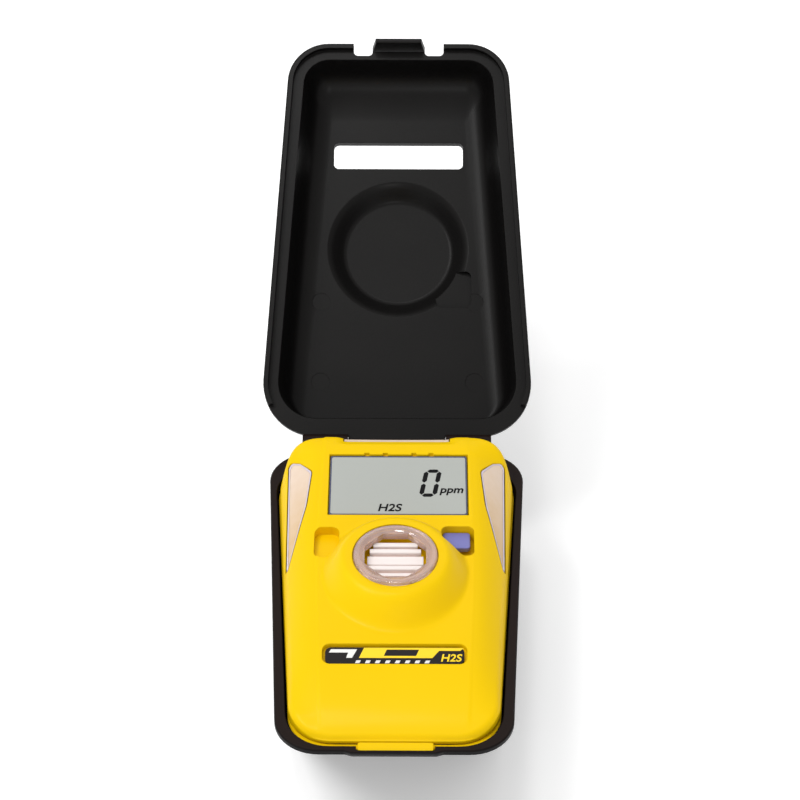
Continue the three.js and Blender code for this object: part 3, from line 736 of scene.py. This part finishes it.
def zero_digit(x, d, wide, tall, stroke):
    """The six lit segments of a leaning 0: x at its left foot, d at its foot."""

    def at(u, v):
        return (x + u + v * 0.16, d - v)

    half, gap, mid = stroke / 2, 0.13, tall / 2
    inner, outer = stroke + gap, half + gap
    parts = []
    for v in (half, tall - half):
        ends = [
            (outer, v), (inner, v - half), (wide - inner, v - half),
            (wide - outer, v), (wide - inner, v + half), (inner, v + half),
        ]
        parts.append([at(*p) for p in ends])
    for u in (half, wide - half):
        for low, high in ((half, mid), (mid, tall - half)):
            ends = [
                (u, low + gap), (u + half, low + outer), (u + half, high - outer),
                (u, high - gap), (u - half, high - outer), (u - half, low + outer),
            ]
            parts.append([at(*p) for p in ends])
    return [laid(flat_shape(points), display_face) for points in parts]


def display():
    """Display: its dark edge line, the grey glass and the lit figures."""
    half, near, far = DISPLAY
    surround = laid(box(-half + 0.95, half, near, far, -1.2, 0, 0.5), display_face)
    finish_piece(
        body(surround), "display_surround", "detector", MATERIALS["frame_line"],
        ["lcd_window", "lcd_module"],
    )
    glass_top = 0.04
    glass = laid(box(-half + 1.25, half - 0.3, near + 0.4, far - 0.3, -0.5, glass_top, 0.5), display_face)
    finish_piece(body(glass), "display_glass", "detector", MATERIALS["display"])

    def raised(d):
        return display_face(d) + glass_top

    marks = zero_digit(4.8, 26.4, 3.8, 8.3, 1.0)
    marks.append(lettering("ppm", 2.0, 9.3, 25.2, raised, 0.06))
    marks.append(lettering("H2S", 2.1, -4.0, 30.7, raised, 0.05))
    finish_piece(body(merged(marks)), "display_figures", "detector", MATERIALS["ink"])


def name_plate():
    """Black plate with a slanted yellow panel, a row of light dashes and the gas formula."""
    half, near, far = PLATE
    sunk = 0.3

    def low_face(d):
        return plate_face(d) - sunk

    def printed(corners, thick=0.05):
        return laid(flat_shape([(x, near + down) for x, down in corners], thick), low_face)

    def on_plate(made, name, finish, replaced=()):
        finish_piece(body(made), name, "detector", MATERIALS[finish], replaced)

    ground = box(-half + 0.35, half - 0.35, near + 0.3, far - 0.3, -0.7, -sunk, 1.2)
    on_plate(laid(ground, plate_face), "plate_ground", "plate_ground", ["name_plate"])
    panel = [(-7.2, 2.9), (-6.2, 0.4), (14.0, 0.4), (13.2, 1.1), (9.0, 1.1), (7.6, 2.9)]
    on_plate(printed(panel), "plate_panel", "plate_yellow")
    stripe = [(-2.2, 2.4), (-1.6, 0.9), (4.9, 0.9), (4.3, 2.4)]
    on_plate(printed(stripe, 0.09), "plate_stripe", "plate_ground")
    marks = []
    for k in range(8):
        x = -8.0 + 2.0 * k
        marks.append(printed([(x, 4.2), (x + 0.3, 3.5), (x + 1.2, 3.5), (x + 0.9, 4.2)]))
    stroke = [(-13.3, 1.6), (-12.9, 0.8), (-7.6, 0.8), (-8.6, 2.9), (-9.8, 2.9), (-9.4, 1.6)]
    marks.append(printed(stroke))
    on_plate(merged(marks), "plate_dashes", "plate_white")
    on_plate(lettering("H2S", 1.75, 9.2, near + 3.7, low_face, 0.06), "plate_formula", "plate_yellow")


def eight_sided(flats, low, high):
    """Upright eight-sided body on the dome's axis, flats away from its centre at each side."""
    r = flats / math.cos(math.pi / 8)
    angles = [(k + 0.5) * math.pi / 4 for k in range(8)]
    outline = [Vector((r * math.cos(angle), -DOME_D + r * math.sin(angle))) for angle in angles]
    return loft([(outline, low), (outline, high)])


# Louvres of the grille: place towards the latch, half length, top and half thickness
LOUVRES = (
    (-4.6, 4.6, 10.9, 0.62), (-2.7, 5.3, 10.9, 0.62), (-0.3, 5.8, 10.4, 1.3), (2.3, 5.4, 10.9, 0.62),
    (4.3, 4.3, 10.7, 0.62),
)


def sensor_port():
    """Clear ring with an eight-sided opening over the white louvred grille."""
    profile = [
        (0, 10.7), (8.6, 10.7), (LENS_R, 10.9), (LENS_R, 12.3), (8.6, 12.62), (8.2, 12.8), (7.5, 12.72),
        (7.0, 12.45), (6.7, 12.3), (0, 12.3),
    ]
    ring = work(body(turned(profile, DOME_D)), [eight_sided(6.35, 9, 14)], "DIFFERENCE")
    finish_piece(ring, "clear_port_ring", "detector", MATERIALS["ring"], ["sensor_lens_ring"])
    louvres = []
    for offset, long, top, thick in LOUVRES:
        near, far = DOME_D + offset - thick, DOME_D + offset + thick
        louvres.append(bar([(near, 8.7, 0), (far, 8.7, 0), (far, top, 0.3), (near, top, 0.3)], -long, long))
    # Painted shade: the back plate's pinkish colour stands for the shade between the louvres.
    back = box(-4.6, 4.6, DOME_D - 4.0, DOME_D + 3.9, 8.5, 9.7, 1.2)
    finish_piece(body(back), "grille_back_shade", "detector", MATERIALS["grille_back_shade"])
    finish_piece(
        body(merged(louvres)), "port_grille", "detector", MATERIALS["grille"],
        ["sensor_grille"],
    )


def button():
    key = box(9.9, 15.7, 35.5, 40.3, 5.05, 6.3, 0.7)
    finish_piece(
        body(bevelled(key, 0.25)), "button_cap", "button", MATERIALS["button"], ["push_button"]
    )


def rear_shell():
    """Back shell, drawn in towards its back in a soft curve, with the tab at its latch end."""
    shoulder = dict(REAR, start=7.6, end=86.3, hinge_half=26.0, latch_half=20.5)
    low = dict(start=8.8, end=78.2, hinge_half=24.9, latch_half=20.6)
    back = dict(start=10.0, end=75.4, hinge_half=23.6, latch_half=19.4)
    rings = [
        (plan(**REAR, by=0.15), SEAM - 0.3), (plan(**REAR), SEAM - 0.45), (plan(**REAR), SEAM - 1.4),
        (plan(**shoulder), -4.6), (plan(**ease(shoulder, low, 0.5)), -8.3), (plan(**low), -11.6),
        (plan(**ease(low, back, 0.6)), -12.9), (plan(**back), BACK),
    ]
    x, half, end = TAB
    tab = box(x - half, x + half, 89.3, end, SEAM - 0.5, SEAM + 0.7, 0.5)
    shell = work(body(loft(rings)), [tab], "UNION")
    finish_piece(shell, "rear_shell", "detector", MATERIALS["yellow"], ["rear_housing"])


# ---- stage ---------------------------------------------------------------------------------------
def studio():
    """Pale floor, even sky and four soft lamps."""
    bm = bmesh.new()
    bmesh.ops.create_grid(bm, x_segments=1, y_segments=1, size=3.0)
    floor = body(bm, "floor")
    tree = Tree("floor_white")
    tree.set(Base_Color=colour(252, 252, 252), Roughness=0.9)
    tree.set(Emission_Color=(1, 1, 1, 1), Emission_Strength=0.24)
    floor.data.materials.append(tree.material)
    world = bpy.data.worlds.new("studio")
    world.use_nodes = True
    sky = world.node_tree.nodes["Background"].inputs
    sky["Color"].default_value = (1, 1, 1, 1)
    sky["Strength"].default_value = 0.66
    bpy.context.scene.world = world
    middle = Vector((0, 0.02, 0.03))
    for name, place, size, power in (
        ("key", (-0.42, -0.12, 0.75), 0.36, 3.3),
        ("overhead", (-0.08, -0.06, 0.95), 0.16, 1.2),
        ("front", (0.12, -0.95, 0.22), 0.22, 1.2),
        ("back", (0.05, 0.75, 0.75), 0.6, 0.8),
    ):
        lamp = bpy.data.objects.new(name, bpy.data.lights.new(name, "AREA"))
        lamp.data.energy = power
        lamp.data.size = size
        lamp.location = place
        lamp.rotation_euler = (middle - Vector(place)).to_track_quat("-Z", "Y").to_euler()
        bpy.context.scene.collection.objects.link(lamp)


def camera():
    """Looks down on the open case from its latch end."""
    elevation = math.radians(40.0)
    azimuth = math.radians(0.3)
    distance = 590 * MM
    right = Vector((math.cos(azimuth), math.sin(azimuth), 0))
    level = Vector((-math.sin(azimuth), math.cos(azimuth), 0))
    ahead = level * math.cos(elevation) - UP * math.sin(elevation)
    up = right.cross(ahead)
    target = HINGE + up * (10.0 * MM) + right * (0.7 * MM)
    view = bpy.data.objects.new("camera", bpy.data.cameras.new("camera"))
    view.data.lens = 118.9
    view.data.sensor_width = 36.0
    view.data.clip_start = 0.01
    view.location = target - ahead * distance
    view.rotation_euler = Matrix((right, up, -ahead)).transposed().to_euler()
    bpy.context.scene.collection.objects.link(view)
    bpy.context.scene.camera = view


NODE_MATERIALS = {
    "hinge_pin": "steel", "rear_housing": "yellow", "housing_seal": "seal", "lcd_window": "display",
    "lcd_module": "display", "top_light_window": "window", "left_light_window": "window",
    "right_light_window": "window", "led_top": "led", "led_left": "led", "led_right": "led",
    "sensor_lens_ring": "ring", "sensor_grille": "grille", "sensor_filter": "membrane", "sensor_seal": "seal",
    "gas_sensor": "dark", "push_button": "button", "name_plate": "plate_ground", "circuit_board": "board",
    "battery": "steel", "button_switch": "dark", "buzzer": "dark", "vibration_motor": "steel",
    "clip_bracket": "clip", "clip_jaw": "clip", "clip_pin": "steel", "clip_spring": "steel",
    **{f"housing_screw_{k}": "steel" for k in range(1, 5)}, **{f"clip_screw_{k}": "steel" for k in (1, 2)},
}


def dress_nodes():
    """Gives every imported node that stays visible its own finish."""
    for node, finish in NODE_MATERIALS.items():
        mesh = frame["nodes"][node].data
        mesh.materials.clear()
        mesh.materials.append(MATERIALS[finish])


camera()
studio()
dress_nodes()
tray()
lid()
tongue()
front_shell()
rear_shell()
light_window(-1)
light_window(1)
top_window()
display()
sensor_port()
button()
name_plate()

bpy.context.scene.view_settings.view_transform = "Standard"
